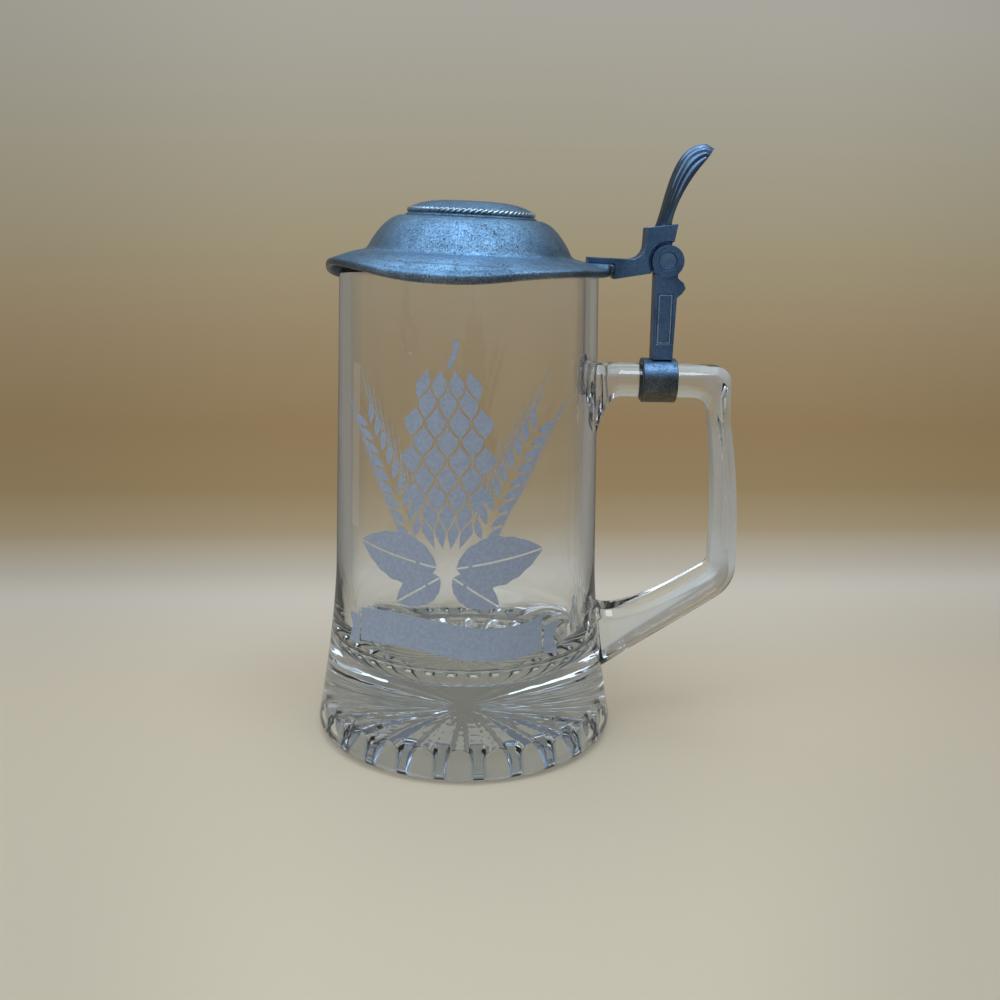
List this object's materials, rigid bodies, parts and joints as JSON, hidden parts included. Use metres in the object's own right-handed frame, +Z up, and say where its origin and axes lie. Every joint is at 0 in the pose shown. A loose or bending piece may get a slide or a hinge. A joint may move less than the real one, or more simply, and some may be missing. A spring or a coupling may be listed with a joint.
{
  "type": "lidded glass beer stein",
  "caption": "Clear glass beer stein with a flared foot, angular glass handle and a domed pewter lid hinged on the handle, opened by a thumb-lift.",
  "frame": {"origin": "middle of the foot ring, on the plane that it stands on", "axes": "+Z up along the axis of the mug, +X toward the handle and the hinge, +Y to the back of the picture"},
  "size_m": [0.1419, 0.1012, 0.1942],
  "materials": {
    "glass": "clear pressed glass, fire-polished, with a frosted print on the front",
    "pewter": "aged satin pewter with small pits",
    "dark_pewter": "dark aged pewter, satin, rubbed bright on edges"
  },
  "bodies": {
    "mug": {"glass_body": "glass", "glass_handle": "glass", "handle_ring": "dark_pewter", "hinge_post": "dark_pewter", "hinge_pin": "dark_pewter"},
    "lid": {"lid": "pewter", "lid_medallion": "pewter", "lid_arm": "dark_pewter", "thumb_lift": "dark_pewter"}
  },
  "joints": [
    {"name": "lid_hinge", "type": "hinge", "parent": "mug", "child": "lid", "pos_m": [0.0627, 0, 0.1585], "axis": [0, 1, 0], "range_deg": [0, 120]}
  ]
}
